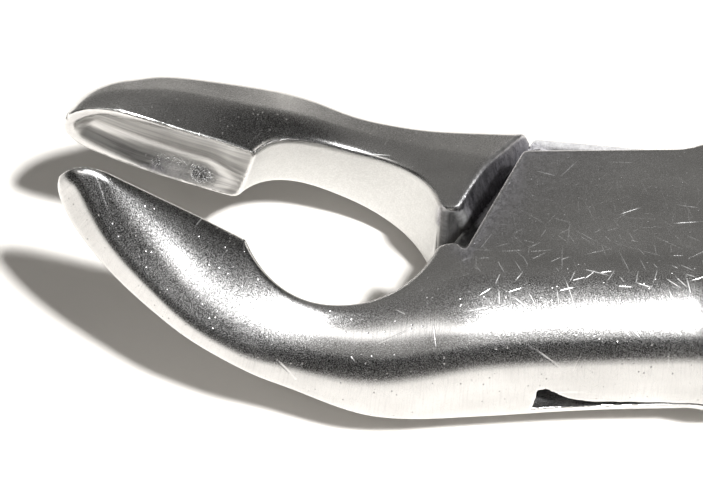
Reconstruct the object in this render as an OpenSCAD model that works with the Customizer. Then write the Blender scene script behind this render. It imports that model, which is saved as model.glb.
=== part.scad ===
// Dental extraction forceps: two crossing halves in a box joint, held by one flush pin.
// Axes: the pin's axis is Z and the joint's underside is z = 0. The beaks point to -X,
// the handles to +X, and the jaws open in the XY plane. Millimetres.

/* [Joint] */
// Thickness of the box joint, from underside to top face
joint_t = 9.5; // [9:0.1:10.5]
// Thickness of the slot through the box
slot_t = 2; // [1.6:0.1:2.4]
// Gap between each face of the tongue and the slot
slot_gap = 0.1; // [0.05:0.01:0.2]
// Gap along the slanted shoulders when the jaws are shut
shoulder_gap = 0.25; // [0.2:0.05:0.4]
// Radius of the pivot pin
pin_r = 2.4; // [1.8:0.1:3]
// Running clearance between the pin and the tongue's bore, on the radius
pin_clear = 0.05; // [0.02:0.01:0.08]
// Angle between the halves at rest, from jaws shut
open_angle = 7.4; // [0:0.2:12]

/* [Beaks] */
// Length of a beak along its curve, from the front of the joint
beak_len = 26; // [24:0.5:28]
// Greatest half-width across the outside of the beaks
beak_w = 8; // [7.6:0.1:8.2]
// Upward bend of the neck, degrees
neck_bend = 16; // [12:1:20]
// Further upward bend toward the tip, degrees
tip_bend = 25; // [18:1:28]
// Depth of the spoon hollow inside each tip
spoon_d = 1.1; // [0.4:0.1:1.4]
// Half of the space left between the tips when shut
tip_gap = 0.15; // [0.1:0.05:0.4]

/* [Handles] */
// Distance from the pin to the handle's end
handle_x = 136; // [120:1:150]
// How far the middle of a handle bows out from the centre line
handle_bow = 13; // [11:0.5:16]
// Distance of the handle's end from the centre line
handle_end = 9; // [8:0.5:12]
// Width of the grip across its broad side
grip_h = 9.5; // [9:0.1:9.5]
// Thickness of the grip
grip_w = 6.4; // [5.5:0.1:7.5]

/* [Hidden] */
mid = joint_t/2;          // height of the joint's middle plane
hs = slot_t/2;            // half of the slot
spine_x = -14.8;          // where the beak's curve starts
// Slanted shoulder line between the halves, with jaws shut
sh_in = [-16.7, -1.7];    // its inner corner on the top face
sh_ap = [-18, 0];         // where it meets the hollow between the necks
sh_d = [0.469, 0.883];    // its direction toward the far side
tongue_r = 14.6;          // round end of the tongue
slot_r = 14.9;            // round end of the slot

function clamp01(t) = max(0, min(1, t));
function smooth(t) = let(u = clamp01(t)) u*u*(3 - 2*u);

// ---- Beak: inclination, edges and thickness along the curve length s
function b_th(s) = neck_bend*smooth(s/16) + tip_bend*clamp01((s - 14.8)/10.6);
hol_c = 8.8; hol_w = 5.9; hol_y = -2; hol_r = 5.8; hol_p = 2.3; heel_s = 13.8;
function b_hollow(s) = let(u = min(1, abs(s - hol_c)/hol_w)) hol_y + hol_r*pow(max(0, 1 - pow(u, hol_p)), 1/hol_p);
function b_face(s) = tip_gap + 0.9*pow(clamp01((beak_len - s)/(beak_len - heel_s)), 1.6);
function b_in(s) = s <= heel_s ? max(b_hollow(s), s > hol_c ? b_face(heel_s) : -2) : b_face(s);
function b_out(s) = s < 6 ? beak_w - 0.45*(1 - smooth((s + 4.4)/8)) : beak_w*(1 - pow((s - 6)/(beak_len + 0.3 - 6), 2.3));
function tip_round(s) = sqrt(max(0, 1 - pow(clamp01((s - (beak_len - 3.2))/3.2), 2)));
// Upper edge; k is 1 on the half whose neck stays thick past the joint, 0 on the other
function b_top0(s, k) = k*1.6*smooth((s - 1)/3)*(1 - smooth((s - 6)/8)) +
    (s < 7.4 ? 1.75 + (mid - 0.05 - 1.75)*pow(1 - max(s - 1, 0)/6.4, 2.8) : 1.75 + 2.75*smooth((s - 7.4)/10.5));
function b_bot0(s) = -mid + 0.02 + 5.3*smooth(s/21.6);
function b_mid(s, k) = (b_top0(s, k) + b_bot0(s))/2;
function b_h(s, k) = (b_top0(s, k) - b_bot0(s))/2*(0.22 + 0.78*tip_round(s));
function b_spoon(s) = 0.08 + (spoon_d - 0.08)*smooth((s - heel_s)/2)*smooth((beak_len - 1 - s)/5);
nb = 46; // stations along the beak
bs0 = -4.4;
function b_s(i) = bs0 + (beak_len - bs0)*i/nb;
function b_path() = [for (i = 0, x = spine_x - bs0, z = 0; i <= nb;
    x = x - (b_s(i + 1) - b_s(i))*cos(b_th((b_s(i) + b_s(i + 1))/2)),
    z = z + (b_s(i + 1) - b_s(i))*sin(b_th((b_s(i) + b_s(i + 1))/2)),
    i = i + 1) [x, z]];
function pw(v, p) = sign(v)*pow(abs(v), p);
// Section in (y, n): flat or spooned inner face, rounded outer face
function b_sec(s, k) = let(yi = b_in(s), yo = b_out(s), h = b_h(s, k), m = b_mid(s, k), yc = yi + 0.25*(yo - yi), d = b_spoon(s))
    concat([for (i = [-3:3]) [yi + d*(1 - pow(i/3, 2)), m + h*i/3*0.98]],
           [for (a = [90:-12:-90]) [yc + (yo - yc)*pw(cos(a), 0.9), m + h*pw(sin(a), 0.9)]]);
function b_pts(k) = let(p = b_path()) [for (i = [0:nb]) let(s = b_s(i), t = b_th(s))
    for (q = b_sec(s, k)) [p[i][0] + q[1]*sin(t), q[0], mid + p[i][1] + q[1]*cos(t)]];

// ---- Handle: centre line, and half sizes of its section, along x
function h_y(x) = let(t = (x - 13)/(handle_x - 13))
    4.9 + (handle_bow - 4.9)*smooth(t/0.42) + (handle_end - handle_bow)*smooth((t - 0.42)/0.58);
function h_end(x) = sqrt(max(0, 1 - pow(clamp01((x - handle_x + 5)/5), 2)));
function h_w(x) = (2.75 + (grip_w/2 - 2.75)*smooth((x - 30)/30))*(0.3 + 0.7*h_end(x));
function h_h(x) = (mid - 0.05 - (mid - 3.7)*smooth((x - 12)/14) + (grip_h/2 - 3.7)*smooth((x - 50)/50))*(0.3 + 0.7*h_end(x));
nh = 40; // stations along the handle
function h_x(i) = 12 + (handle_x - 12)*(i/nh < 0.85 ? i/nh/0.85*0.94 : 0.94 + 0.06*(i/nh - 0.85)/0.15);
function h_pts() = [for (i = [0:nh]) let(x = h_x(i), a = atan2(h_y(x + 0.5) - h_y(x - 0.5), 1))
    for (k = [0:19]) let(c = pw(cos(k*18), 0.8)*h_w(x), z = pw(sin(k*18), 0.8)*h_h(x))
    [x - c*sin(a), h_y(x) + c*cos(a), mid + z]];

// Skin over rings of n points; m is the number of ring intervals
module skin(pts, n, m) {
    polyhedron(points = pts, faces = concat(
        [[for (k = [0:n - 1]) k]],
        [[for (k = [n - 1:-1:0]) m*n + k]],
        [for (i = [0:m - 1], k = [0:n - 1]) [i*n + k, (i + 1)*n + k, (i + 1)*n + (k + 1)%n]],
        [for (i = [0:m - 1], k = [0:n - 1]) [i*n + k, (i + 1)*n + (k + 1)%n, i*n + (k + 1)%n]]), convexity = 6);
}
module beak(k) skin(b_pts(k), 23, nb);       // on the +Y side
module handle() mirror([0, 1, 0]) skin(h_pts(), 20, nh); // on the -Y side

// Cross-section of the box, (y, z): rounded toward +Y, straight slant toward -Y
round_c = 1.7; round_a = 5.9; flat_y = 4.8; slant_y = 7;
module box_section() polygon(concat(
    [for (a = [90:-7.5:-90]) [round_c + round_a*cos(a), mid + mid*sin(a)]],
    [[-flat_y, 0], [-slant_y, mid - hs], [-slant_y, mid + hs], [-flat_y, joint_t]]));
module bar(x0, x1) translate([x0, 0, 0]) rotate([90, 0, 90]) linear_extrude(x1 - x0) box_section();
// Shoulder line moved by g toward the front; points on the front side of it
function sh(g, t) = [sh_in[0] - sh_d[1]*g + sh_d[0]*t, sh_in[1] + sh_d[0]*g + sh_d[1]*t];
// Plan area in front of the shoulder that belongs to the other half (jaw on +Y)
module front_plan(g) polygon([sh(g, 14), [sh_in[0] - 0.15*g, sh_in[1] + 1.85*g], [sh_ap[0], sh_ap[1] + 1.65*g], [-30, 1.65*g], [-30, 14]]);
module prism(z0, z1) translate([0, 0, z0]) linear_extrude(z1 - z0) children();
module both() { children(); rotate([0, 0, 180]) children(); }

// Envelope of the joint's block with the rounded side on -Y at the front
module block() both() intersection() {
    mirror([0, 1, 0]) bar(-16.8, 2);
    prism(-1, joint_t + 1) polygon([[-16.7, -1.7], [-15.3, -4.6], [-14.6, -9], [3, -9], [3, 9], sh(0, 12), sh(0, 0)]);
}

// Near beak, box with the slot, far handle; drawn with the jaws shut
module female_half_shut() difference() {
    union() {
        block();
        mirror([0, 1, 0]) beak(1);
        mirror([0, 1, 0]) handle();
    }
    // room for the other half's beak and handle roots
    both() prism(-1, 30) front_plan(0);
    // slot for the tongue, open on the far side in front and on the near side behind
    prism(mid - hs, mid + hs) difference() {
        union() {
            circle(r = slot_r, $fn = 96);
            both() polygon([[-19, -0.9], [-16.4, -2.4], [-12.6, -3.9], [-8, 0], [-8, 12], [-19, 12]]);
        }
        both() polygon([[-15, -6.2], [-2, -6.2], [-2, -9], [-15, -9]]);
    }
    // long wedge-shaped window through the near wall of the slot
    both() translate([0, -6, mid]) rotate([90, 0, 0]) linear_extrude(3)
        polygon([[-13.3, -hs], [-12.9, 0.9], [-9.6, 0.55], [-4, -hs]]);
    translate([0, 0, -1]) cylinder(r = pin_r, h = joint_t + 2, $fn = 64);
}

// Far beak, thin tongue, near handle; drawn with the jaws shut
module male_half_shut() {
    difference() {
        union() {
            // beak and handle, and their shoulders beyond the slanted lines
            difference() {
                union() {
                    beak(0);
                    handle();
                    rotate([0, 0, 180]) intersection() {
                        bar(-15.6, -10);
                        prism(-1, joint_t + 1) polygon([[-14.6, 9], [-15.3, 4.6], [-17.6, -0.2], [-16.6, -3], [-10, -3], [-10, 9]]);
                    }
                }
                prism(-1, joint_t + 1) difference() {
                    square([60, 40], center = true);
                    both() front_plan(shoulder_gap);
                }
            }
            // tongue
            prism(mid - hs + slot_gap, mid + hs - slot_gap) difference() {
                union() {
                    intersection() {
                        circle(r = tongue_r, $fn = 96);
                        square([40, 13.8], center = true);
                    }
                    both() polygon([sh(shoulder_gap + 0.6, 0.6), [-12.4, -3.4], [-8, 0], [-6, 6.9], sh(shoulder_gap + 0.6, 9.4)]);
                }
                both() polygon([[-14, -5.9], [0.6, -5.9], [1.4, -9], [-14, -9]]);
            }
        }
        translate([0, 0, -1]) cylinder(r = pin_r + pin_clear, h = joint_t + 2, $fn = 64);
    }
}

module female_half() color([0.72, 0.72, 0.73]) rotate([0, 0, open_angle/2]) female_half_shut();
module male_half() color([0.78, 0.78, 0.79]) rotate([0, 0, -open_angle/2]) male_half_shut();
module pivot_pin() color([0.6, 0.6, 0.62]) cylinder(r = pin_r, h = joint_t, $fn = 64);

female_half();
male_half();
pivot_pin();
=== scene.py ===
import math
import numpy as np
import bpy
import bmesh
from mathutils import Matrix, Vector


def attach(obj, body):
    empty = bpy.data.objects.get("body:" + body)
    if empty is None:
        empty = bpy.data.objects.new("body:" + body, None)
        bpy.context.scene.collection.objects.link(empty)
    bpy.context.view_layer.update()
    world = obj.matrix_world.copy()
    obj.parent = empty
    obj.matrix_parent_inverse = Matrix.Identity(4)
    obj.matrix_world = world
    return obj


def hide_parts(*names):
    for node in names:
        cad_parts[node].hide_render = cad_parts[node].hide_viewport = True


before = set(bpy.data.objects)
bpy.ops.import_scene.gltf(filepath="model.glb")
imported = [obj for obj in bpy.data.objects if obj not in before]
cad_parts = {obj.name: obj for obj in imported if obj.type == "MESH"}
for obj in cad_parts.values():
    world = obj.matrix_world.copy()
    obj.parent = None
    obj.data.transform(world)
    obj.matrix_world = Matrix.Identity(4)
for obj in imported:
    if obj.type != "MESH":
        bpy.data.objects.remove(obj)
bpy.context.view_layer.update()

# ---------------------------------------------------------------- sizes, mm
# The same frame and sizes as the CAD model; z is measured from the joint's
# middle plane in the shape functions and moved up by MID at the end.
T = 9.5
MID = T / 2
HS = 1.0               # half of the slot
TG = 0.1               # tongue to slot, each face
OPEN = 7.4             # angle between the halves at rest
PIN_R = 2.4
SPX = -14.8            # start of the beak's curve
P1 = np.array([-16.7, -1.7])          # shoulder line, inner corner
D1 = np.array([0.469, 0.883])         # its direction
N1 = np.array([-0.883, 0.469])        # toward the other half
N2 = np.array([0.794, 0.607])
TONGUE_R, SLOT_R = 14.6, 14.9
HX, HBOW, HEND = 136.0, 13.0, 9.0     # handle end, bow and end distance


def smooth(t):
    t = np.clip(t, 0, 1)
    return t * t * (3 - 2 * t)


# ---------------------------------------------------------------- curves
S0, S1, DS = -45.0, 28.0, 0.02
SG = np.arange(S0, S1 + DS, DS)
TH = np.radians(16 * smooth(SG / 16) + 25 * np.clip((SG - 14.8) / 10.6, 0, 1))


def blur(v, sigma):
    n = int(4 * sigma / DS)
    k = np.exp(-0.5 * (np.arange(-n, n + 1) * DS / sigma) ** 2)
    return np.convolve(np.pad(v, n, mode="edge"), k / k.sum(), mode="valid")


TH = blur(TH, 1.0)
KAP = np.gradient(TH, DS)
i0 = int(round(-S0 / DS))
PX = np.concatenate([[0], np.cumsum(-np.cos((TH[1:] + TH[:-1]) / 2) * DS)])
PZ = np.concatenate([[0], np.cumsum(np.sin((TH[1:] + TH[:-1]) / 2) * DS)])
PX += SPX - PX[i0]
PZ -= PZ[i0]


def tab(knots, sigma=0.9):
    """A smooth table over s from a few (s, value) pairs."""
    k = np.array(knots, float)
    return blur(np.interp(SG, k[:, 0], k[:, 1]), sigma)


def at(table, s):
    return np.interp(s, SG, table)


def to_sn(x, z):
    """Curve length s and height n above the curve of the points (x, z)."""
    s = SPX - x
    for _ in range(7):
        th = at(TH, s)
        dx, dz = x - at(PX, s), z - at(PZ, s)
        f = -dx * np.cos(th) + dz * np.sin(th)
        n = dx * np.sin(th) + dz * np.cos(th)
        s = s + f / np.maximum(0.35, 1 - at(KAP, s) * n)
        s = np.clip(s, S0, S1)
    th = at(TH, s)
    dx, dz = x - at(PX, s), z - at(PZ, s)
    f = -dx * np.cos(th) + dz * np.sin(th)
    return s + f, dx * np.sin(th) + dz * np.cos(th)


# Handle centre line: y over x
XG = np.arange(0, 142, 0.05)
tt = (XG - 13) / (HX - 13)
HY = 4.9 + (HBOW - 4.9) * smooth(tt / 0.42) + (HEND - HBOW) * smooth((tt - 0.42) / 0.58)
HY = np.convolve(np.pad(HY, 60, mode="edge"), np.hanning(121) / np.hanning(121).sum(), mode="valid")
HA = np.arctan(np.gradient(HY, 0.05))
HK = np.gradient(HA, 0.05) * np.cos(HA)


def hat(t, x):
    return np.interp(x, XG, t)


def handle_size(x):
    """Half thickness and half height of the handle's section."""
    w = 2.75 + 0.45 * smooth((x - 30) / 30)
    h = 4.7 - 1.05 * smooth((x - 12) / 14) + 1.1 * smooth((x - 50) / 50)
    return w, h


def to_handle(x, y):
    """Station along the handle and sideways offset of the points (x, y)."""
    q = x + 0.0 * y
    for _ in range(6):
        a = hat(HA, q)
        f = (x - q) * np.cos(a) + (y - hat(HY, q)) * np.sin(a)
        q = np.clip(q + f * np.cos(a), 0, 141)
    a = hat(HA, q)
    return q, -(x - q) * np.sin(a) + (y - hat(HY, q)) * np.cos(a)


# ---------------------------------------------------------------- solids as signed distances
def smax(a, b, r):
    h = np.maximum(r - np.abs(a - b), 0) / r
    return np.maximum(a, b) + h * h * r * 0.25


def smin(a, b, r):
    h = np.maximum(r - np.abs(a - b), 0) / r
    return np.minimum(a, b) - h * h * r * 0.25


def poly_sd(px, py, pts):
    """Signed distance to a polygon in a plane."""
    pts = np.array(pts, float)
    d = None
    inside = None
    for i in range(len(pts)):
        a, b = pts[i], pts[(i + 1) % len(pts)]
        e = b - a
        wx, wy = px - a[0], py - a[1]
        t = np.clip((wx * e[0] + wy * e[1]) / (e @ e), 0, 1)
        dd = (wx - e[0] * t) ** 2 + (wy - e[1] * t) ** 2
        d = dd if d is None else np.minimum(d, dd)
        c1 = (a[1] <= py) & (b[1] > py)
        c2 = (a[1] > py) & (b[1] <= py)
        cr = e[0] * wy - e[1] * wx
        fl = (c1 & (cr > 0)) | (c2 & (cr < 0))
        inside = fl if inside is None else inside ^ fl
    return np.where(inside, -1, 1) * np.sqrt(d)


def super_sd(u, v, a, b, p):
    """Approximate distance to a superellipse |u/a|^p + |v/b|^p = 1."""
    qa, qb = np.abs(u) / a, np.abs(v) / b
    g = np.maximum(qa ** p + qb ** p, 1e-12)
    G = g ** (1 / p)
    ga = (qa / np.maximum(G, 1e-9)) ** (p - 1) / a
    gb = (qb / np.maximum(G, 1e-9)) ** (p - 1) / b
    return (G - 1) / np.maximum(np.sqrt(ga * ga + gb * gb), 1e-6)


# Beak tables, one set for each half: s, value
BEAK = {
    "m": dict(
        end=24.95,
        out=[(-6, 6.9), (0, 6.28), (3, 6.49), (6, 6.87), (9, 7.04), (11, 7.36), (13, 6.85), (15, 6.02), (17, 5.42), (19, 4.99), (21, 4.37), (23, 2.99), (24.6, 2.66), (25.8, 1.72)],
        top=[(-6, 3.55), (-1, 3.5), (0.8, 3.35), (3, 2.7), (5, 2.05), (7.4, 1.75), (9.5, 1.9), (11.6, 2.45), (13.7, 3.3), (16, 3.9), (18, 4.0), (21, 3.9), (23.5, 3.35), (26, 2.3)],
        bot=[(-6, -4.75), (0, -4.75), (2, -4.5), (5, -3.75), (8, -2.75), (11, -1.75), (14, -0.95), (17, -0.5), (20, -0.4), (23, -0.65), (26, -0.6)],
        flat=[(-6, 1.3), (1, 1.3), (4, 2.9), (6, 3.9), (8, 4.3), (10, 4.3), (12, 3.8), (14, 3.1), (17, 2.4), (20, 1.7), (23, 0.9), (26, 0.3)],
        cen=[(-6, 0.6), (2, 0.6), (6, -0.4), (9, -0.4), (12, 0.4), (14, 1.1), (17, 1.9), (20, 2.2), (23, 2.2), (26, 1.8)],
        low=[(-6, -0.6), (2, -0.6), (6, -0.9), (9, -0.8), (12, -0.3), (14, 0.3), (17, 1.0), (20, 1.35), (23, 1.4), (26, 1.2)],
        pw=[(-6, 2.4), (2, 2.4), (7, 2.3), (12, 2.2), (26, 2.2)],
        edge=[(-6, 70), (16, 70), (21, 66), (26, 60)],
        turn=[(-6, 0.5), (26, 0.5)],
        inner=[(-6, 6), (26, 6)],
    ),
    "f": dict(
        end=26.0,
        out=[(-6, 7.75), (0, 7.86), (4, 8.19), (7, 8.15), (9, 7.61), (11, 7.12), (13, 7.05), (15, 6.45), (17, 5.78), (19, 4.65), (21, 3.66), (23, 2.55), (24.6, 1.4), (25.8, 0.8)],
        top=[(-6, 4.75), (0.6, 4.75), (2.2, 4.65), (3.4, 4.4), (5, 3.95), (7.4, 3.3), (9.5, 3.0), (11.6, 3.05), (13.7, 3.45), (16, 4.05), (18, 4.45), (21, 4.75), (23.5, 4.9), (26, 4.9)],
        bot=[(-6, -4.75), (0, -4.75), (2, -4.5), (5, -3.75), (8, -2.75), (11, -1.75), (14, -0.95), (17, -0.45), (20, 0.1), (23, 0.9), (26, 2.0)],
        flat=[(-6, 1.7), (1, 1.7), (4, 2.2), (6, 2.6), (8, 2.8), (10, 2.5), (12, 1.8), (14, 1.0), (17, 0.5), (20, 0.5), (23, 0.35), (26, 0.2)],
        cen=[(-6, 0.3), (-3, 0.1), (0, -0.35), (2, -0.3), (6, -0.8), (9, -0.75), (12, -0.2), (14, 0.45), (17, 1.0), (20, 1.3), (23, 1.8), (26, 2.4)],
        low=[(-6, 0), (2, -0.1), (6, -0.9), (9, -1.1), (12, -0.6), (14, 0.0), (17, 0.7), (20, 1.2), (23, 1.6), (26, 1.8)],
        pw=[(-6, 2.2), (2, 2.2), (7, 1.9), (12, 1.75), (26, 1.65)],
        edge=[(-6, 44), (8, 44), (14, 46), (19, 45), (22, 40), (26, 38)],
        turn=[(-6, 1.6), (7, 1.5), (12, 1.0), (16, 0.6), (20, 0.38), (26, 0.3)],
        inner=[(-6, 5.7), (0.4, 5.5), (1.8, 5.1), (3.2, 4.7), (5, 4.0), (7.4, 3.1), (9.5, 2.7), (11.6, 2.8), (13.7, 3.3), (16, 4.1), (18, 4.5), (21, 4.8), (26, 4.8)],
    ),
}
for k in BEAK.values():
    for n_ in list(k):
        if n_ != "end":
            k[n_] = tab(k[n_], 0.9)
LEN = 26.0
HEEL = 13.8


def face_y(s):
    """Inner plane of the tip, as a distance from the middle."""
    return 0.15 + 0.9 * (np.clip((LEN - s) / (LEN - HEEL), 0, 1.6)) ** 1.6


def tip_round(s, end):
    return 0.12 + 0.88 * np.sqrt(np.maximum(0.0, 1 - np.clip((s - (end - 2.3)) / 2.3, 0, 0.985) ** 2))


def beak_sd(which, s, y, n):
    """Neck and beak with its outside toward +y. The flat part of the top runs on toward -y without end."""
    t = BEAK[which]
    out, flat = at(t["out"], s), at(t["flat"], s)
    top, bot, cen = at(t["top"], s), at(t["bot"], s), at(t["cen"], s)
    r = tip_round(s, t["end"])
    low, pw = at(t["low"], s), at(t["pw"], s)
    m = (top + bot) / 2
    top, bot, cen, low = m + (top - m) * r, m + (bot - m) * r, m + (cen - m) * r, m + (low - m) * r
    out = out * (0.25 + 0.75 * r)
    a = np.maximum(out - flat, 0.35)
    b = top - low
    u, v = np.maximum(y - flat, 0), n - low
    # a rounded upper side that runs on as a straight lean from the angle `edge`, and a tight turn below
    e = np.radians(at(t["edge"], s))
    ce, se = np.cos(e), np.sin(e)
    k = (se / ce * b / a) ** (1 / (pw - 1))
    qa = (1 + k ** pw) ** (-1 / pw)
    du, dv = u - a * qa, v - b * k * qa
    over = np.where(du * se - dv * ce > 0, du * ce + dv * se, super_sd(u, v, a, b, pw))
    side = np.where(n > cen, u - a, super_sd(u, n - cen, a, np.maximum(cen - bot, 0.25), 2.1))
    f = smax(over, side, at(t["turn"], s))
    # the inner border of the top is a little lower
    wall = np.where(s > 14.4, face_y(s), -2 + 5.8 * np.maximum(1 - np.abs((s - 8.8) / 5.95) ** 2.3, 0.02) ** (1 / 2.3))
    f = smax(f, n - m - (at(t["inner"], s) - m) * r - 0.42 * np.maximum(y - np.maximum(wall, 0), 0), 0.5)
    return smax(f, s - (t["end"] - 0.05), 0.7)


def spoon_depth(s, n, which):
    t = BEAK[which]
    top, bot = at(t["top"], s), at(t["bot"], s)
    m, h = (top + bot) / 2, (top - bot) / 2 * tip_round(s, t["end"])
    u = np.clip((n - m) / np.maximum(h - 0.2, 0.2), -1, 1)       # -1..1 between the rims
    # deepest below the middle: a short lower wall and a long upper one
    prof = np.maximum(smin((u + 1) / 0.72, (1 - u) / 1.28, 0.55), 0) * 1.15
    run = smooth((s - HEEL + 0.2) / 3.2) * smooth((t["end"] - 0.2 - s) / 1.5)
    return 0.82 * prof * run


def hollow_sd(s, y):
    return super_sd(s - 8.8, y + 2.0, 5.9, 5.8, 2.3)


def rot(x, y, a):
    c, s = math.cos(a), math.sin(a)
    return x * c - y * s, x * s + y * c


def side_slope(y, z):
    """The steep cut side of a cheek, on +y: 4.8 at the top face, 7 at the slot."""
    a = math.atan2(3.75, 2.2)
    return (np.abs(z) - 1.0) * math.cos(a) + (y - 7.0) * math.sin(a)


def wall_plan(x, y, y0, y1=9.0):
    """Plan of the slot's closed near wall in front, and far wall behind."""
    return poly_sd(x, y, [(-17, -y1), (-2, -y1), (-2, -y0), (-17, -y0)])


WINDOW = [(-13.3, -1.02), (-13.1, 0.75), (-12.7, 0.8), (-11.4, 0.0), (-10.2, -0.35), (-3.7, -0.9), (-3.7, -1.02)]


def shoulder(x, y, bulge=0.0):
    """Distance beyond the shoulder line toward the other half, in front."""
    t = (x - P1[0]) * D1[0] + (y - P1[1]) * D1[1]
    d = (x - P1[0]) * N1[0] + (y - P1[1]) * N1[1]
    return d - bulge * np.sin(np.pi * np.clip(t / 7.4, 0, 1)) ** 1.0


def wedge_plan(x, y, g, bulge=0.0, lean=0.0, corner=False):
    """Plan area in front that belongs to the male half, g inside its limits; negative inside."""
    d1 = g + lean - shoulder(x, y, bulge)
    d2 = np.minimum(g - ((x - P1[0]) * N2[0] + (y - P1[1]) * N2[1]), 1.65 * g - y)
    if corner:
        d2 = np.minimum(d2, np.maximum(-1.0 - y, -24 - x))
    return smax(d1, d2, 0.35)


def chamfer(x, y, z):
    """The slanted shoulder of the upper beak, leaning back above the tongue."""
    lean = 0.31 + 0.28 * np.clip(z - 0.9, 0, 4) * smooth((x + 22) / 4) + 0.035 * np.clip(y, 0, 8)
    return wedge_plan(x, y, 0.25, 0.03, lean)


def plan_link(x, y):
    return poly_sd(x, y, [(-19, -0.9), (-16.4, -2.4), (-12.6, -3.9), (-8, 0), (-8, 12), (-19, 12)])


def top_clip(x, z):
    """The joint's flat faces; the beak rises above them in front."""
    return np.maximum(z - MID - 14 * smooth((-19.5 - x) / 3), -MID - z)


def handle_sd(x, y, z, side):
    q, c = to_handle(x, y * side)
    w, h = handle_size(q)
    # crossed grooves on the outer side of the grip
    zone = smooth((c - 0.2) / 1.4) * smooth((q - 46) / 3) * smooth((124 - q) / 3) * (1 - smooth((np.abs(z) - 3.2) / 0.7))
    d = np.minimum(np.abs(np.sin(np.pi * (q + z) / 2.0)), np.abs(np.sin(np.pi * (q - z) / 2.0)))
    # rounded end
    k = 0.3 + 0.7 * np.sqrt(np.maximum(1 - np.clip((q - 131) / 5, 0, 0.995) ** 2, 0))
    f = super_sd(c, z, w * k, h * k, 2.4) + 0.17 * zone * np.maximum(1 - d / 0.6, 0)
    return smax(f, (x - 135.7) * 0.98, 0.8)


def female_sd(x, y, z):
    s, n = to_sn(x, z)
    ym = -y
    # near side and beak, then the cut far side of the front cheeks
    beak = beak_sd("f", s, ym, n)
    fl = smax(beak, side_slope(y, z), 0.18)
    fl = smax(fl, x - 3.0, 1.0)
    # the same section turned half a turn, behind
    xr, yr = -x, -y
    sec = super_sd(np.maximum(-yr - 1.7, 0), z, 5.95, MID, 2.22)
    fr = smax(sec, side_slope(yr, z), 0.18)
    fr = smax(fr, -x - 3.0, 1.0)
    fr = smax(fr, x - 17.6, 1.5)
    hd = smax(handle_sd(x, y, z, 1), 12 - x, 1.0)
    body = smin(smin(fl, fr, 2.2), hd, 1.6)
    body = smax(body, top_clip(x, z), 0.22)
    # inner side of the beak: hollow, then the spooned face
    body = smax(body, -hollow_sd(s, ym), 0.5)
    face = face_y(s) + spoon_depth(s, n, "f") - ym
    face = np.where(s > 9.5, face, -9.0 + 0 * face)
    body = smax(body, face, 0.2)
    # the other half's room in front and behind
    body = smax(body, -wedge_plan(x, y, 0.09, corner=True), 0.22)
    body = smax(body, -wedge_plan(-x, -y, 0.0), 0.22)
    body = smax(body, 2.4 - np.hypot(x - 20.4, y), 0.8)
    # slot
    r = np.hypot(x, y)
    plan = np.minimum(r - SLOT_R, np.minimum(plan_link(x, y), plan_link(-x, -y)))
    wall = np.minimum(wall_plan(x, y, 6.2), wall_plan(-x, -y, 6.2))
    plan = np.maximum(plan, -wall)
    slot = smax(plan, np.abs(z) - HS, 0.12)
    win = np.maximum(poly_sd(x, z, WINDOW), y + 5.9)
    win2 = np.maximum(poly_sd(-x, z, WINDOW), -y + 5.9)
    slot = np.minimum(slot, np.minimum(win, win2))
    body = smax(body, -slot, 0.1)
    body = smax(body, PIN_R - r, 0.14)
    return body


def male_sd(x, y, z):
    s, n = to_sn(x, z)
    r = np.hypot(x, y)
    beak = beak_sd("m", s, y, n)
    beak = smax(beak, -hollow_sd(s, y), 0.5)
    face = face_y(s) + spoon_depth(s, n, "m") - y
    face = np.where(s > 9.5, face, -9.0 + 0 * face)
    beak = smax(beak, face, 0.2)
    beak = smax(beak, chamfer(x, y, z) * 0.97, 0.22)
    # the inner corner is cut back so that it clears the other half's front wall
    beak = smax(beak, np.maximum(0.22 - y, np.minimum(x + 14.5, 0.9 - z)), 0.3)
    # handle and its shoulder behind, on -y
    xr, yr = -x, -y
    sec = super_sd(np.maximum(yr - 1.2, 0), z, 5.95, MID, 2.0)
    sec = smax(sec, x - 17.6, 1.5)
    hd = smax(handle_sd(x, y, z, -1), 12 - x, 1.0)
    rear = smin(sec, hd, 1.6)
    rear = smax(rear, wedge_plan(xr, yr, 0.25, 0.12), 0.22)
    rear = smax(rear, 2.4 - np.hypot(x - 20.4, y), 0.8)
    body = np.minimum(beak, rear)
    body = np.maximum(body, top_clip(x, z))
    # tongue
    band = np.maximum(np.abs(y) - 6.98, -60.0)
    disc = smax(r - TONGUE_R, band, 0.6)
    link = [(-17.1, -0.7), (-12.4, -3.3), (-8, 0), (-6, 6.98), (-13.2, 6.98)]
    disc = np.minimum(disc, np.minimum(poly_sd(x, y, link), poly_sd(-x, -y, link)))
    cut = poly_sd(x, y, [(-15, -5.9), (0.6, -5.9), (1.4, -9), (-15, -9)])
    cut2 = poly_sd(-x, -y, [(-15, -5.9), (0.6, -5.9), (1.4, -9), (-15, -9)])
    disc = np.maximum(disc, -np.minimum(cut, cut2))
    tongue = smax(disc, np.abs(z) - (HS - TG), 0.12)
    body = np.minimum(body, tongue)
    body = smax(body, PIN_R + 0.05 - r, 0.12)
    return body


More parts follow.
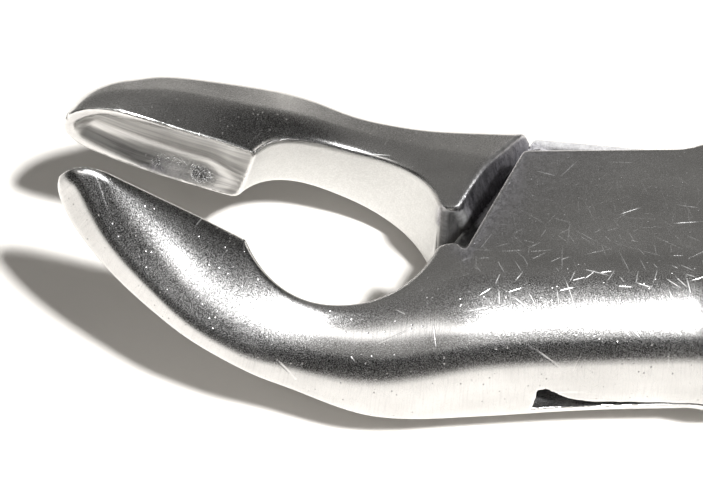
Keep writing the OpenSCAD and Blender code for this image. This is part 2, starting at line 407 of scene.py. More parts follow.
# ---------------------------------------------------------------- meshing
def surface_net(val):
    """Quads round the zero level of a grid of values, in index space."""
    inside = val < 0
    nx, ny, nz = val.shape
    tot = np.zeros((nx - 1, ny - 1, nz - 1), np.int8)
    for i in (0, 1):
        for j in (0, 1):
            for k in (0, 1):
                tot += inside[i:nx - 1 + i, j:ny - 1 + j, k:nz - 1 + k]
    cells = np.argwhere((tot > 0) & (tot < 8))
    idx = -np.ones(tot.shape, np.int32)
    idx[cells[:, 0], cells[:, 1], cells[:, 2]] = np.arange(len(cells))
    acc = np.zeros((len(cells), 3))
    cnt = np.zeros(len(cells))
    ci, cj, ck = cells.T
    corner = {(i, j, k): val[ci + i, cj + j, ck + k] for i in (0, 1) for j in (0, 1) for k in (0, 1)}
    for a, va in corner.items():
        for ax in range(3):
            if a[ax]:
                continue
            b = list(a)
            b[ax] = 1
            vb = corner[tuple(b)]
            m = (va < 0) != (vb < 0)
            t = va[m] / (va[m] - vb[m])
            for q in range(3):
                acc[m, q] += a[q] + (t if q == ax else 0)
            cnt[m] += 1
    g = cells + acc / cnt[:, None]
    quads = []
    for ax in range(3):
        lo, hi = [slice(None)] * 3, [slice(None)] * 3
        lo[ax], hi[ax] = slice(0, -1), slice(1, None)
        a, b = inside[tuple(lo)], inside[tuple(hi)]
        e = np.argwhere(a != b)
        o1, o2 = [(1, 2), (2, 0), (0, 1)][ax]
        out = a[e[:, 0], e[:, 1], e[:, 2]]
        q = []
        for d1, d2 in ((0, 0), (-1, 0), (-1, -1), (0, -1)):
            c3 = e.copy()
            c3[:, o1] += d1
            c3[:, o2] += d2
            q.append(idx[c3[:, 0], c3[:, 1], c3[:, 2]])
        q = np.stack(q, -1)
        q[~out] = q[~out][:, ::-1]
        quads.append(q)
    return g, np.concatenate(quads)


def grad(fn, p, h=0.012):
    g = np.empty_like(p)
    for k in range(3):
        d = np.zeros(3)
        d[k] = h
        a, b = p + d, p - d
        g[:, k] = fn(a[:, 0], a[:, 1], a[:, 2]) - fn(b[:, 0], b[:, 1], b[:, 2])
    return g / (2 * h)


def unit(v):
    return v / np.maximum(np.linalg.norm(v, axis=1, keepdims=True), 1e-9)


def project(fn, p, n=3, limit=0.12):
    p0 = p.copy()
    for _ in range(n):
        f = fn(p[:, 0], p[:, 1], p[:, 2])
        g = grad(fn, p)
        g2 = np.maximum((g * g).sum(1), 0.05)
        p = p - (f / g2)[:, None] * g * 0.9
        d = p - p0
        ln = np.linalg.norm(d, axis=1, keepdims=True)
        p = p0 + d * np.minimum(1, limit / np.maximum(ln, 1e-9))
    return p


def steps(runs):
    """Grid lines from (start, end, step) runs."""
    out = [np.array([runs[0][0]])]
    for a, b, h in runs:
        n = max(1, int(round((b - a) / h)))
        out.append(a + (b - a) * np.arange(1, n + 1) / n)
    return np.concatenate(out)


def half_grid(side, h):
    """Index lines of one half: its x stations, and the middle and reach in y and z at each."""
    xs = steps([(-39.5, -17.5, h), (-17.5, -10, h * 1.1), (-10, 12, h * 1.7), (12, 18.2, h * 1.25),
                (18.2, 26, h * 2), (26, 133, h * 1.9), (133, 136.6, h)])
    v = np.linspace(-1, 1, int(round(16.6 / (h * 1.05))))
    w = np.linspace(-1, 1, int(round(10.4 / (h * 1.05))))
    front = smooth((-17.6 - xs) / 2)
    lift = smooth((-20 - xs) / 8)
    # in front the beak is on its own side only, and behind the handle is
    yc = side * hat(HY, xs) * smooth((xs - 15) / 8) - side * 3.75 * front
    yh = 8.15 - 3.9 * smooth((xs - 17.5) / 8) - 3.85 * front
    zc = np.where(xs < SPX, at(PZ, np.interp(-xs, -PX, SG)), 0.0) + 1.4 * lift
    zh = 5.2 - 0.2 * lift
    return xs, yc, yh, v, zc, zh, w


def half_mesh(fn, side, h):
    xs, yc, yh, v, zc, zh, w = half_grid(side, h)
    nx, ny, nz = len(xs), len(v), len(w)
    val = np.empty((nx, ny, nz), np.float32)
    for a in range(0, nx, 24):
        b = min(nx, a + 24)
        x = xs[a:b, None, None]
        y = yc[a:b, None, None] + yh[a:b, None, None] * v[None, :, None]
        z = zc[a:b, None, None] + zh[a:b, None, None] * w[None, None, :]
        val[a:b] = fn(x, y, z)
    # nothing may reach the grid's outer layer
    val[[0, -1]] = val[:, [0, -1]] = 1
    val[:, :, [0, -1]] = np.maximum(val[:, :, [0, -1]], 0.01)
    g, quads = surface_net(val)
    i = np.arange(nx)
    x = np.interp(g[:, 0], i, xs)
    y = np.interp(g[:, 0], i, yc) + np.interp(g[:, 0], i, yh) * np.interp(g[:, 1], np.arange(ny), v)
    z = np.interp(g[:, 0], i, zc) + np.interp(g[:, 0], i, zh) * np.interp(g[:, 2], np.arange(nz), w)
    return project(fn, np.stack([x, y, z], -1), 2), quads


def turn(p, deg):
    a = math.radians(deg)
    q = p.copy()
    q[:, 0] = p[:, 0] * math.cos(a) - p[:, 1] * math.sin(a)
    q[:, 1] = p[:, 0] * math.sin(a) + p[:, 1] * math.cos(a)
    return q


def mesh_object(name, verts, faces):
    me = bpy.data.meshes.new(name)
    me.from_pydata([], [], [])
    me.vertices.add(len(verts))
    me.vertices.foreach_set("co", np.ascontiguousarray(verts, np.float32).ravel())
    k = faces.shape[1]
    me.loops.add(len(faces) * k)
    me.loops.foreach_set("vertex_index", np.ascontiguousarray(faces, np.int32).ravel())
    me.polygons.add(len(faces))
    me.polygons.foreach_set("loop_start", np.arange(0, len(faces) * k, k, dtype=np.int32))
    me.update(calc_edges=True)
    ob = bpy.data.objects.new(name, me)
    bpy.context.scene.collection.objects.link(ob)
    return ob


def reduced(ob, goal):
    """Fewer triangles where the surface is flat, until about the goal."""
    n = sum(len(f.vertices) - 2 for f in ob.data.polygons)
    if n > goal:
        mod = ob.modifiers.new("fewer", "DECIMATE")
        mod.ratio = goal / n
        dg = bpy.context.evaluated_depsgraph_get()
        me = bpy.data.meshes.new_from_object(ob.evaluated_get(dg))
        ob.modifiers.clear()
        old = ob.data
        ob.data = me
        bpy.data.meshes.remove(old)
    return ob


def corner_normals(fn, co, vi, first, total):
    """Normals at face corners from the shape itself. At an edge each face keeps its own side's normal."""
    nv = unit(grad(fn, co, 0.02))
    face = np.repeat(np.arange(len(first)), total)
    c = co[vi]
    mid = np.stack([np.add.reduceat(c[:, k], first) / total for k in range(3)], -1)[face]
    d = mid - c
    ln = np.linalg.norm(d, axis=1, keepdims=True)
    q = c + d * np.minimum(0.14 / np.maximum(ln, 1e-9), 0.6)
    nq = unit(grad(fn, q, 0.02))
    v = nv[vi]
    cosang = (v * nq).sum(1)
    t = np.clip((0.9975 - cosang) / 0.02, 0, 1)[:, None]
    return unit(v * (1 - t) + nq * t)


def build_half(name, fn, side, ang, goal):
    pts, quads = half_mesh(fn, side, 0.14)
    ob = mesh_object(name, pts, quads)
    reduced(ob, goal)
    me = ob.data
    n = len(me.vertices)
    co = np.empty(n * 3, np.float32)
    me.vertices.foreach_get("co", co)
    co = project(fn, co.reshape(-1, 3).astype(float), 2, 0.05)
    vi = np.empty(len(me.loops), np.int32)
    me.loops.foreach_get("vertex_index", vi)
    first = np.empty(len(me.polygons), np.int32)
    total = np.empty(len(me.polygons), np.int32)
    me.polygons.foreach_get("loop_start", first)
    me.polygons.foreach_get("loop_total", total)
    nrm = corner_normals(fn, co, vi, first, total)
    me.vertices.foreach_set("co", (to_world(co, ang) * 0.001).astype(np.float32).ravel())
    me.update()
    me.shade_smooth()
    me.normals_split_custom_set(turn(nrm, ang).tolist())
    return ob, co


def to_world(p, ang):
    q = turn(p, ang)
    q[:, 2] += MID
    return q


def put(ob, name, values):
    a = ob.data.attributes.new(name, "FLOAT_VECTOR", "POINT")
    a.data.foreach_set("vector", np.ascontiguousarray(values, np.float32).ravel())


def near(d, w):
    return np.exp(-(d / w) ** 2)


def surface_data(ob, co, which, fn):
    """Lengthwise coordinates, and where each kind of surface lies, stored on the points."""
    x, y, z = co.T
    side = 1 if which == "f" else -1
    s, n = to_sn(x, z)
    q, c = to_handle(x, y * side)
    b = smooth((x - 16) / 8)
    put(ob, "flow", np.stack([s * (1 - b) + (-q - 14.8) * b, y * (1 - b) + c * side * b, n], -1))
    yb = -y * side
    beak = (x < -12).astype(float)
    face = face_y(s) + spoon_depth(s, n, which) - yb
    spoon = near(face, 0.07) * smooth((s - HEEL + 0.25) / 0.3) * beak
    depth = spoon_depth(s, n, which)
    neck = near(hollow_sd(s, yb), 0.07) * (1 - spoon) * beak * smooth((s - 1.6) / 0.8)
    g = 0.0
    cut = np.maximum(near(wedge_plan(x, y, g), 0.45), near(wedge_plan(-x, -y, g), 0.45)) * (np.abs(x) < 19.5)
    cut *= (1 - spoon) * (1 - smooth((np.abs(y) - 5.6) / 0.4) * (which == "f"))
    far_edge = (which == "m") * (np.abs(y) > 5.95) * (np.abs(z) < HS + 0.02) * (x * y < 0)
    inner = (np.abs(z) < HS + 0.1) & (np.hypot(x, y) < 17.6) & ((np.abs(y) < 5.9) | (which == "m")) & (far_edge < 0.5)
    cut = np.maximum(cut * 0.9, inner.astype(float))
    h = 0.16
    lap = -6 * fn(x, y, z)
    for k in range(3):
        d = np.zeros(3)
        d[k] = h
        lap = lap + fn(x + d[0], y + d[1], z + d[2]) + fn(x - d[0], y - d[1], z - d[2])
    edge = np.clip(lap / h / 1.1, -1, 1)
    flat = np.clip(1 - np.abs(np.abs(z) - MID) / 0.05, 0, 1) * (x > -16)
    # convex edges: worn, with a painted highlight; concave corners: painted shade; and the flat faces
    put(ob, "wear_and_painted_edge_light", np.stack([np.clip(edge, 0, 1), np.clip(-edge, 0, 1), flat], -1))
    # painted shade: the inside of the joint between the halves is coloured nearly black
    deep_painted_shade = (1 - smooth((np.abs(z) - 1.15) / 0.35)) * ((np.abs(y) < 5.9) | (which == "m")) * (1 - far_edge)
    if which == "m":
        # painted shade in the gap at the inner corner of the upper beak's shoulder, coloured nearly black
        hole_painted_shade = smooth((x + 17.98) / 0.12) * (y < 0.85) * (z < 2.5) * (x < -12) * (y > -3)
        face_ = near(chamfer(x, y, z), 0.3) * (z > 0.85) * (z < 3.6) * (x < -11)
        cut = np.maximum(cut * (1 - face_), 0.9 * face_)
        deep_painted_shade = deep_painted_shade * (1 - face_)
        deep_painted_shade = np.maximum(deep_painted_shade, hole_painted_shade)
        cut = np.maximum(cut, hole_painted_shade)
        neck = neck * (1 - hole_painted_shade)
        spoon = spoon * (1 - hole_painted_shade)
    else:
        # the floor seen through the side opening: painted shade far in, and a thin painted shadow line along the gap
        # toward the rear
        for k in (1, -1):
            line = np.interp(x * k, [-12.5, -11.75, -10.7, -9.7, -7.7, -5.5], [7.12, 6.97, 6.9, 7.03, 7.2, 7.4])
            floor_ = (np.abs(z) < HS + 0.06) * (np.abs(y) > 5.9) * (y * k < 0) * (x * k > -14) * (x * k < -3)
            dark = floor_ * np.where(x * k < -10.6, np.abs(y) < line, np.abs(np.abs(y) - line) < 0.07)
            deep_painted_shade = np.maximum(deep_painted_shade, dark)
            cut = np.maximum(cut, dark)
    put(ob, "zone", np.stack([spoon, neck, cut], -1))
    bt = BEAK[which]
    tb, bb = at(bt["top"], s), at(bt["bot"], s)
    hb = n - ((tb + bb) / 2 - (tb - bb) / 2 * tip_round(s, bt["end"]))
    # height above the lower rim of the dish: a painted dark reflection band along the lower wall, stippled in the
    # middle
    band_ = smooth((hb - 0.12) / 0.2) * (1 - smooth((hb - 0.65) / 0.7)) * spoon
    shade = band_ * (0.35 + 0.65 * smooth((s - 15.5) / 4)) * smooth((s - 13.9) / 1.0) * smooth((24.3 - s) / 1.2)
    rough = near(hb - 0.75, 0.38) * smooth((s - 15.2) / 1.2) * smooth((19.8 - s) / 1.2) * spoon
    put(ob, "dish", np.stack([np.clip(shade, 0, 1), rough, deep_painted_shade], -1))
    scuff = near(yb - 3.3, 2.2) * smooth((x + 18) / 3) * smooth((3 - x) / 3) * (which == "f") * (z > 0)
    brush = near(x + 6.0, 3.0) * near(y - 1.6, 1.8) * (z > 4)
    # painted reflection on the top plate: a lighter band along the middle and a darker band beside it, for a slightly
    # crowned plate
    tone = (0.8 * near(y + 0.1, 1.3) - 0.35 * near(y + 2.3, 0.8)) * (z > 4.5) * smooth((x + 16) / 3)
    put(ob, "area", np.stack([scuff, brush, far_edge + tone * (1 - far_edge)], -1))


# ---------------------------------------------------------------- node helpers
class Tree:
    def __init__(self, mat):
        mat.use_nodes = True
        self.t = mat.node_tree
        self.t.nodes.clear()

    def node(self, kind, **kw):
        n = self.t.nodes.new(kind)
        for k, v in kw.items():
            setattr(n, k, v)
        return n

    def put(self, sock, v):
        if isinstance(v, bpy.types.NodeSocket):
            self.t.links.new(v, sock)
        elif v is not None:
            if hasattr(sock, "default_value") and not isinstance(sock.default_value, (int, float)) and isinstance(v, (int, float)):
                v = (v,) * len(sock.default_value)
            sock.default_value = v

    def math(self, op, a, b=None, c=None, clamp=False):
        n = self.node("ShaderNodeMath", operation=op, use_clamp=clamp)
        for s, v in zip(n.inputs, (a, b, c)):
            self.put(s, v)
        return n.outputs[0]

    def add(self, a, b):
        return self.math("ADD", a, b)

    def mul(self, a, b):
        return self.math("MULTIPLY", a, b)

    def mix(self, f, a, b):
        n = self.node("ShaderNodeMix", data_type="FLOAT")
        self.put(n.inputs["Factor"], f)
        self.put(n.inputs[2], a)
        self.put(n.inputs[3], b)
        return n.outputs[0]

    def mixc(self, f, a, b, blend="MIX"):
        n = self.node("ShaderNodeMix", data_type="RGBA", blend_type=blend)
        self.put(n.inputs["Factor"], f)
        self.put(n.inputs[6], a)
        self.put(n.inputs[7], b)
        return n.outputs[2]

    def step(self, v, a, b, lo=0.0, hi=1.0):
        n = self.node("ShaderNodeMapRange", interpolation_type="SMOOTHSTEP")
        self.put(n.inputs[0], v)
        for s, q in zip(n.inputs[1:5], (a, b, lo, hi)):
            self.put(s, q)
        return n.outputs[0]

    def place(self, vec, scale=(1, 1, 1), rot=(0, 0, 0), loc=(0, 0, 0)):
        n = self.node("ShaderNodeMapping")
        self.put(n.inputs[0], vec)
        self.put(n.inputs["Location"], loc)
        self.put(n.inputs["Rotation"], rot)
        self.put(n.inputs["Scale"], scale)
        return n.outputs[0]

    def noise(self, vec, scale, detail=2.0, rough=0.5, dist=0.0):
        n = self.node("ShaderNodeTexNoise")
        self.put(n.inputs["Vector"], vec)
        for k, v in (("Scale", scale), ("Detail", detail), ("Roughness", rough), ("Distortion", dist)):
            self.put(n.inputs[k], v)
        return n.outputs[0]

    def cells(self, vec, scale, feature="F1", rand=1.0):
        n = self.node("ShaderNodeTexVoronoi", feature=feature)
        self.put(n.inputs["Vector"], vec)
        self.put(n.inputs["Scale"], scale)
        self.put(n.inputs["Randomness"], rand)
        return n

    def attr(self, name):
        n = self.node("ShaderNodeAttribute", attribute_name=name)
        s = self.node("ShaderNodeSeparateXYZ")
        self.put(s.inputs[0], n.outputs["Vector"])
        return n.outputs["Vector"], s.outputs

    def bump(self, height, dist, strength, normal=None):
        n = self.node("ShaderNodeBump")
        self.put(n.inputs["Height"], height)
        self.put(n.inputs["Distance"], dist)
        self.put(n.inputs["Strength"], strength)
        if normal is not None:
            self.put(n.inputs["Normal"], normal)
        return n.outputs[0]


def scratches(t, vec, ang, spread, size, width, amount, seed):
    """Short straight marks, one to a cell at most, each turned to its own angle within the spread."""
    p = t.place(vec, scale=(1 / size, 1 / size, 1 / size), loc=(seed * 3.7, seed * 1.3, seed))
    v = t.cells(p, 1.0)
    keep = t.node("ShaderNodeSeparateColor")
    t.put(keep.inputs[0], v.outputs["Color"])
    off = t.node("ShaderNodeVectorMath", operation="SUBTRACT")
    t.put(off.inputs[0], p)
    t.put(off.inputs[1], v.outputs["Position"])
    sep = t.node("ShaderNodeSeparateXYZ")
    t.put(sep.inputs[0], off.outputs[0])
    a = t.add(ang, t.mul(t.math("SUBTRACT", keep.outputs[1], 0.5), spread))
    c, d = t.math("COSINE", a), t.math("SINE", a)
    u = t.add(t.mul(sep.outputs[0], c), t.mul(sep.outputs[1], d))
    w = t.math("SUBTRACT", t.mul(sep.outputs[1], c), t.mul(sep.outputs[0], d))
    u, w = t.math("ABSOLUTE", u), t.math("ABSOLUTE", w)
    line = t.mul(t.step(w, width * 0.3 / size, width / size, 1.0, 0.0), t.step(u, 0.15, 0.55, 1.0, 0.0))
    return t.mul(line, t.step(keep.outputs[0], 1 - amount, 1 - amount + 0.04))


def steel(name, tone):
    mat = bpy.data.materials.new(name)
    t = Tree(mat)
    out = t.node("ShaderNodeOutputMaterial")
    sh = t.node("ShaderNodeBsdfPrincipled")
    t.put(out.inputs[0], sh.outputs[0])
    flow, fl = t.attr("flow")
    _, zone = t.attr("zone")
    _, wear_and_painted_edge_light = t.attr("wear_and_painted_edge_light")
    _, dish = t.attr("dish")
    spoon, neck, cut = zone
    # ground finish: lines along the part, and cross lines left by the polishing
    along = t.noise(t.place(flow, scale=(0.3, 8, 8)), 1.0, 4, 0.65)
    across = t.noise(t.place(flow, scale=(16, 0.8, 0.8)), 1.0, 3, 0.6)
    mist = t.noise(flow, 38.0, 1, 0.5)
    patch = t.noise(t.place(flow, scale=(0.16, 0.3, 0.3)), 1.0, 3, 0.55)
    grain = t.noise(flow, 12.0, 3, 0.65)
    coarse = t.noise(flow, 3.2, 4, 0.6)
    # how much each is seen: cross lines on the rounded sides, long lines on the flat faces
    flat = wear_and_painted_edge_light[2]
    # small dents and specks
    pit = t.cells(flow, 3.4)
    pk = t.node("ShaderNodeSeparateColor")
    t.put(pk.inputs[0], pit.outputs["Color"])
    pits = t.mul(t.step(pit.outputs["Distance"], 0.10, 0.22, 1.0, 0.0), t.step(pk.outputs[0], 0.72, 0.8))
    # scratches in several directions
    marks = None
    for i, (a, sp, sz, wd, am) in enumerate([(0.2, 1.2, 2.6, 0.045, 0.2), (0.9, 3.1, 1.5, 0.04, 0.16)]):
        m = scratches(t, flow, a, sp, sz, wd, am, i + 1)
        marks = m if marks is None else t.math("MAXIMUM", marks, m)
    _, area_ = t.attr("area")
    busy = t.step(t.noise(flow, 0.55, 2, 0.5), 0.42, 0.66)
    marks = t.mul(marks, t.mix(busy, 0.25, 1.0))
    for i, (a, sp, sz, wd, am) in enumerate([(0.6, 2.4, 1.6, 0.045, 0.7), (0.8, 3.0, 0.9, 0.04, 0.7)]):
        marks = t.math("MAXIMUM", marks, t.mul(scratches(t, flow, a, sp, sz, wd, am, i + 11), area_[0]))
    for i, (a, sp, sz, wd, am) in enumerate([(0.02, 0.1, 2.6, 0.05, 0.8)]):
        marks = t.math("MAXIMUM", marks, t.mul(scratches(t, flow, a, sp, sz, wd, am, i + 21), area_[1]))
    marks = t.mul(marks, t.math("SUBTRACT", 1.0, t.math("MAXIMUM", spoon, neck)))
    # colour
    col = t.mixc(t.step(patch, 0.3, 0.7), (0.54 * tone, 0.535 * tone, 0.53 * tone, 1), (0.66 * tone, 0.655 * tone, 0.65 * tone, 1))
    streak = t.mix(flat, across, along)
    col = t.mixc(t.mul(t.step(streak, 0.46, 0.70), 0.22), col, (0.36, 0.355, 0.36, 1))
    col = t.mixc(t.mul(t.step(grain, 0.50, 0.74), 0.20), col, (0.34, 0.335, 0.34, 1))
    col = t.mixc(t.mul(pits, 0.6), col, (0.16, 0.155, 0.15, 1))
    col = t.mixc(t.mul(marks, 0.7), col, (0.93, 0.93, 0.93, 1))
    # lighter: the tongue's machined edge face, and the painted light band on the top plate; darker: the painted dark
    # band beside it
    col = t.mixc(t.mul(t.math("MAXIMUM", area_[2], 0.0), 0.35), col, (0.9, 0.89, 0.88, 1))
    col = t.mixc(t.mul(t.math("MAXIMUM", t.mul(area_[2], -1.0), 0.0), 0.9), col, (0.33, 0.325, 0.32, 1))
    # dish of the beak: lengthwise lines, and a painted dark reflection along its lower wall
    lines = t.noise(t.place(flow, scale=(0.14, 0.7, 4.0)), 1.0, 4, 0.62)
    dcol = t.mixc(t.step(lines, 0.34, 0.64), (0.46, 0.455, 0.455, 1), (0.70, 0.695, 0.68, 1))
    stipple = t.step(t.noise(flow, 9.0, 3, 0.7), 0.46, 0.60)
    # painted dark reflection along the dish's lower wall
    dcol = t.mixc(t.mul(dish[0], t.step(lines, 0.25, 0.6, 0.95, 0.6)), dcol, (0.05, 0.05, 0.05, 1))
    dcol = t.mixc(t.mul(dish[1], 0.75), dcol, t.mixc(stipple, (0.05, 0.05, 0.055, 1), (0.46, 0.46, 0.46, 1)))
    col = t.mixc(spoon, col, dcol)
    # neck: fine pale satin
    ncol = t.mixc(t.step(grain, 0.35, 0.7), (0.62, 0.62, 0.61, 1), (0.76, 0.76, 0.75, 1))
    ncol = t.mixc(t.mul(t.step(coarse, 0.4, 0.7), 0.35), ncol, (0.55, 0.55, 0.54, 1))
    col = t.mixc(neck, col, ncol)
    # machined faces of the joint: rough, with painted shade nearly black deep inside
    mill = t.noise(t.place(flow, scale=(4, 4, 0.5)), 1.0, 3, 0.7)
    ccol = t.mixc(t.step(t.mix(0.5, mill, grain), 0.40, 0.60), (0.13, 0.125, 0.145, 1), (0.44, 0.43, 0.47, 1))
    ccol = t.mixc(dish[2], ccol, t.mixc(t.step(mill, 0.35, 0.65), (0.03, 0.03, 0.03, 1), (0.09, 0.088, 0.09, 1)))
    col = t.mixc(cut, col, ccol)
    # bright edges: worn steel with a painted highlight; inside corners darkened with painted shade
    col = t.mixc(t.mul(wear_and_painted_edge_light[0], t.step(coarse, 0.2, 0.75, 0.35, 0.9)), col, (0.88, 0.88, 0.87, 1))
    col = t.mixc(t.mul(wear_and_painted_edge_light[1], 0.6), col, (0.12, 0.115, 0.11, 1))
    t.put(sh.inputs["Base Color"], col)
    # less metallic where the painted shade lies deep inside the joint, so that it stays dark, and on the tongue's
    # machined edge face
    t.put(sh.inputs["Metallic"], t.math("SUBTRACT", 1.0, t.math("MAXIMUM", t.mul(t.mul(cut, dish[2]), 0.85), t.mul(t.step(area_[2], 0.85, 0.95), 0.7))))
    # roughness
    # fine mirror-like and fine matt spots side by side give a sharp reflection with a soft glow
    r = t.mix(t.step(mist, 0.54, 0.60), t.mix(t.step(patch, 0.3, 0.7), 0.115, 0.16), 0.35)
    r = t.add(r, t.mul(t.step(streak, 0.46, 0.72), 0.05))
    r = t.add(r, t.mul(t.step(grain, 0.46, 0.76), 0.05))
    r = t.add(r, t.mul(t.math("MAXIMUM", marks, pits), 0.20))
    r = t.mix(spoon, r, t.mix(lines, 0.22, 0.42))
    r = t.mix(neck, r, t.mix(grain, 0.42, 0.56))
    r = t.mix(cut, r, t.mix(mill, 0.40, 0.58))
    r = t.mix(t.mul(wear_and_painted_edge_light[0], 0.7), r, 0.22)
    t.put(sh.inputs["Roughness"], t.math("MINIMUM", t.math("MAXIMUM", r, 0.1), 0.9))
    # relief; heights are millimetres
    fine = t.add(t.mul(streak, t.mix(flat, 0.0028, 0.002)), t.mul(grain, 0.0010))
    fine = t.mix(spoon, fine, t.add(t.mul(lines, 0.016), t.mul(t.mul(dish[1], stipple), 0.02)))
    fine = t.mix(neck, fine, t.mul(grain, 0.008))
    fine = t.mix(cut, fine, t.add(t.mul(mill, 0.012), t.mul(grain, 0.012)))
    b1 = t.bump(fine, 0.001, 1.0)
    b2 = t.bump(t.math("SUBTRACT", 0.0, t.math("MAXIMUM", marks, pits)), 0.000012, 0.7, b1)
    t.put(sh.inputs["Normal"], b2)
    return mat


def pin_steel():
    mat = bpy.data.materials.new("pin_steel")
    t = Tree(mat)
    out = t.node("ShaderNodeOutputMaterial")
    sh = t.node("ShaderNodeBsdfPrincipled")
    t.put(out.inputs[0], sh.outputs[0])
    tc = t.node("ShaderNodeTexCoord")
    p = t.place(tc.outputs["Object"], scale=(1000, 1000, 1000))
    ln = t.node("ShaderNodeVectorMath", operation="LENGTH")
    flat = t.place(p, scale=(1, 1, 0))
    t.put(ln.inputs[0], flat)
    rad = ln.outputs["Value"]
    grain = t.noise(p, 12, 4, 0.6)
    com = t.node("ShaderNodeCombineXYZ")
    t.put(com.inputs[0], rad)
    ring = t.noise(com.outputs[0], 8.0, 3, 0.7)
    marks = None
    for i, (a, sp, sz, wd, am) in enumerate([(0.3, 1.5, 1.4, 0.05, 0.3), (1.2, 2.0, 1.0, 0.05, 0.3)]):
        m = scratches(t, p, a, sp, sz, wd, am, i + 3)
        marks = m if marks is None else t.math("MAXIMUM", marks, m)
    col = t.mixc(t.step(ring, 0.35, 0.65), (0.48, 0.475, 0.47, 1), (0.66, 0.655, 0.65, 1))
    col = t.mixc(t.mul(t.step(grain, 0.55, 0.75), 0.4), col, (0.30, 0.295, 0.29, 1))
    col = t.mixc(t.mul(marks, 0.7), col, (0.9, 0.9, 0.9, 1))
    col = t.mixc(t.step(rad, 2.28, 2.36), col, (0.07, 0.065, 0.06, 1))
    t.put(sh.inputs["Base Color"], col)
    sh.inputs["Metallic"].default_value = 1.0
    t.put(sh.inputs["Roughness"], t.add(t.mix(grain, 0.22, 0.36), t.mul(marks, 0.2)))
    b = t.bump(t.add(t.mul(ring, 1.0), t.mul(grain, 0.4)), 0.00001, 0.4)
    t.put(sh.inputs["Normal"], t.bump(t.math("SUBTRACT", 0.0, marks), 0.00002, 0.5, b))
    return mat


# ---------------------------------------------------------------- pieces
def pin_piece():
    """The riveted pin: flush ends, slightly crowned, with a peened rim."""
    prof = [(0.0, T - 0.03), (0.7, T - 0.034), (1.4, T - 0.045), (1.95, T - 0.05), (2.1, T - 0.075), (2.2, T - 0.055), (2.3, T - 0.07), (2.36, T - 0.14), (PIN_R - 0.01, T - 0.3)]
    prof += [(PIN_R - 0.01, T * 0.75), (PIN_R - 0.01, T * 0.5), (PIN_R - 0.01, T * 0.25)]
    prof += [(r, T - z) for r, z in prof[8::-1]]
    n = 96
    vs, fs, ring = [], [], []
    for r, z in prof:
        if r == 0:
            ring.append([len(vs)])
            vs.append((0, 0, z))
            continue
        ring.append(list(range(len(vs), len(vs) + n)))
        for i in range(n):
            a = 2 * math.pi * i / n
            w = 1 + 0.002 * math.sin(3 * a + 0.7) + 0.0015 * math.sin(7 * a)
            k = w if 1.9 < r < 2.34 else 1
            vs.append((r * k * math.cos(a), r * k * math.sin(a), z))
    for a, b in zip(ring, ring[1:]):
        for i in range(n):
            j = (i + 1) % n
            if len(a) == 1:
                fs.append((a[0], b[i], b[j]))
            elif len(b) == 1:
                fs.append((a[i], b[0], a[j]))
            else:
                fs.append((a[i], b[i], b[j], a[j]))
    me = bpy.data.meshes.new("rivet")
    me.from_pydata([tuple(c * 0.001 for c in v) for v in vs], [], fs)
    bm = bmesh.new()
    bm.from_mesh(me)
    bmesh.ops.recalc_face_normals(bm, faces=bm.faces)
    bm.to_mesh(me)
    bm.free()
    me.shade_smooth()
    ob = bpy.data.objects.new("rivet", me)
    bpy.context.scene.collection.objects.link(ob)
    return ob


SHAPES = {"f": female_sd, "m": male_sd}
for name, which, side, ang, body, node, slot, tone in (
    ("slotted_half", "f", 1, OPEN / 2, "female", "female_half", "female_steel", 1.0),
    ("tongue_half", "m", -1, -OPEN / 2, "male", "male_half", "male_steel", 0.97),
):
    ob, co = build_half(name, SHAPES[which], side, ang, 188000)
    surface_data(ob, co, which, SHAPES[which])
    # the material holds real wear together with painted shade, painted reflections and painted edge highlights
    ob.data.materials.append(steel(slot + "_worn_and_painted_light", tone))
    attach(ob, body)
    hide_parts(node)

rivet = pin_piece()
rivet.data.materials.append(pin_steel())
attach(rivet, "female")
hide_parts("pivot_pin")

# ---------------------------------------------------------------- floor, light, camera
def floor_piece():
    n, r = 24, 2.2
    bm = bmesh.new()
    bmesh.ops.create_grid(bm, x_segments=n, y_segments=n, size=r)
    me = bpy.data.meshes.new("table")
    bm.to_mesh(me)
    bm.free()
    ob = bpy.data.objects.new("table", me)
    bpy.context.scene.collection.objects.link(ob)
    ob.location = (0, 0, -0.00002)
    mat = bpy.data.materials.new("pale_table")
    t = Tree(mat)
    out = t.node("ShaderNodeOutputMaterial")
    sh = t.node("ShaderNodeBsdfPrincipled")
    t.put(out.inputs[0], sh.outputs[0])
    tc = t.node("ShaderNodeTexCoord")
    v = t.noise(tc.outputs["Object"], 18.0, 3, 0.5)
    t.put(sh.inputs["Base Color"], t.mixc(t.step(v, 0.3, 0.7), (0.83, 0.80, 0.76, 1), (0.86, 0.835, 0.795, 1)))
    sh.inputs["Roughness"].default_value = 0.85
    sh.inputs["Specular IOR Level"].default_value = 0.2
    me.materials.append(mat)


floor_piece()


def look(ob, target):
    d = Vector(target) - ob.location
    ob.rotation_euler = d.to_track_quat("-Z", "Y").to_euler()


def area(name, loc, size, power, target=(-0.018, 0, 0.004), colour=(1, 1, 1)):
    li = bpy.data.lights.new(name, "AREA")
    li.shape = "RECTANGLE"
    li.size, li.size_y = size
    li.energy = power
    li.color = colour
    ob = bpy.data.objects.new(name, li)
    bpy.context.scene.collection.objects.link(ob)
    ob.location = loc
    look(ob, target)
    ob.visible_camera = False
    return ob


KEY = Vector((0.40, -0.376, 1.0)).normalized()
area("key", Vector((-0.018, 0, 0.004)) + KEY * 1.4, (0.11, 0.11), 37)

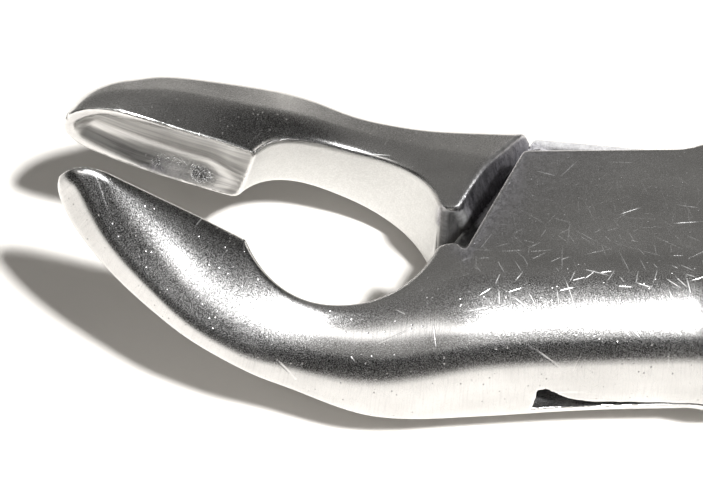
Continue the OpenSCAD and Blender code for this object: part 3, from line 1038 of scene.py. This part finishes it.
world = bpy.data.worlds.new("studio")
bpy.context.scene.world = world
t = Tree(world)
wout = t.node("ShaderNodeOutputWorld")
bg = t.node("ShaderNodeBackground")
t.put(wout.inputs[0], bg.outputs[0])
tc = t.node("ShaderNodeTexCoord")
sx = t.node("ShaderNodeSeparateXYZ")
t.put(sx.inputs[0], tc.outputs["Generated"])
up_ = t.math("DIVIDE", t.math("ARCSINE", sx.outputs[2]), math.pi / 2)


def sky(stops):
    """Brightness over elevation, 0 at the horizon and 1 overhead."""
    ramp = t.node("ShaderNodeValToRGB")
    t.put(ramp.inputs[0], up_)
    cr = ramp.color_ramp
    cr.interpolation = "EASE"
    while len(cr.elements) < len(stops):
        cr.elements.new(0.5)
    for e, (p_, v_) in zip(cr.elements, stops):
        e.position = p_ / 90
        e.color = (v_, v_ * 0.975, v_ * 0.93, 1)
    return ramp.outputs[0]


front = sky([(0, 0.9), (3, 0.9), (7, 0.008), (36, 0.008), (44, 0.28), (60, 0.28), (74, 0.10), (90, 0.09)])
rear = sky([(0, 0.5), (4, 0.36), (12, 0.20), (30, 0.19), (62, 0.21), (74, 0.10), (90, 0.09)])
dark = sky([(0, 0.30), (3, 0.2), (7, 0.02), (50, 0.04), (75, 0.09), (90, 0.10)])
sky_ = t.mixc(t.step(sx.outputs[1], -0.05, 0.35), front, rear)
sky_ = t.mixc(t.step(sx.outputs[0], 0.30, 0.70), sky_, dark)
# a long narrow lamp overhead in front, seen in the polish as one unbroken line of light
off_ = t.math("ABSOLUTE", t.math("SUBTRACT", t.mul(up_, 90.0), 61.5))
strip = t.mul(t.step(off_, 2.5, 5.5, 1.0, 0.0), t.step(sx.outputs[0], -0.50, -0.34))
strip = t.mul(strip, t.mul(t.step(sx.outputs[0], 0.26, 0.42, 1.0, 0.0), t.step(sx.outputs[1], -0.2, -0.12, 1.0, 0.0)))
sky_ = t.mixc(strip, sky_, (2.3, 2.25, 2.2, 1))
below = t.math("LESS_THAN", sx.outputs[2], 0.0)
t.put(bg.inputs[0], t.mixc(below, sky_, (0.9, 0.88, 0.85, 1)))
bg.inputs[1].default_value = 1.0

cam = bpy.data.cameras.new("photo_view")
cam.sensor_width = 36
cam.sensor_fit = "HORIZONTAL"
cam.clip_start, cam.clip_end = 0.004, 20
co_ = bpy.data.objects.new("photo_view", cam)
bpy.context.scene.collection.objects.link(co_)
E, PH, RO, DIST = math.radians(54.18), math.radians(2.08), math.radians(0.71), 117.88
back = Vector((math.sin(PH) * math.cos(E), -math.cos(PH) * math.cos(E), math.sin(E)))
right = Vector((math.cos(PH), math.sin(PH), 0))
up = back.cross(right)
aim = right * -22.505 + up * 1.462 + Vector((0, 0, MID))
r2 = right * math.cos(RO) + up * math.sin(RO)
u2 = up * math.cos(RO) - right * math.sin(RO)
place = (aim + back * DIST) * 0.001
m = Matrix((r2, u2, back)).transposed().to_4x4()
m.translation = place
co_.matrix_world = m
cam.lens = 18.666 * DIST * 36 / 703
bpy.context.scene.camera = co_

vs = bpy.context.scene.view_settings
vs.view_transform = "Standard"
vs.look = "None"

bpy.context.view_layer.update()
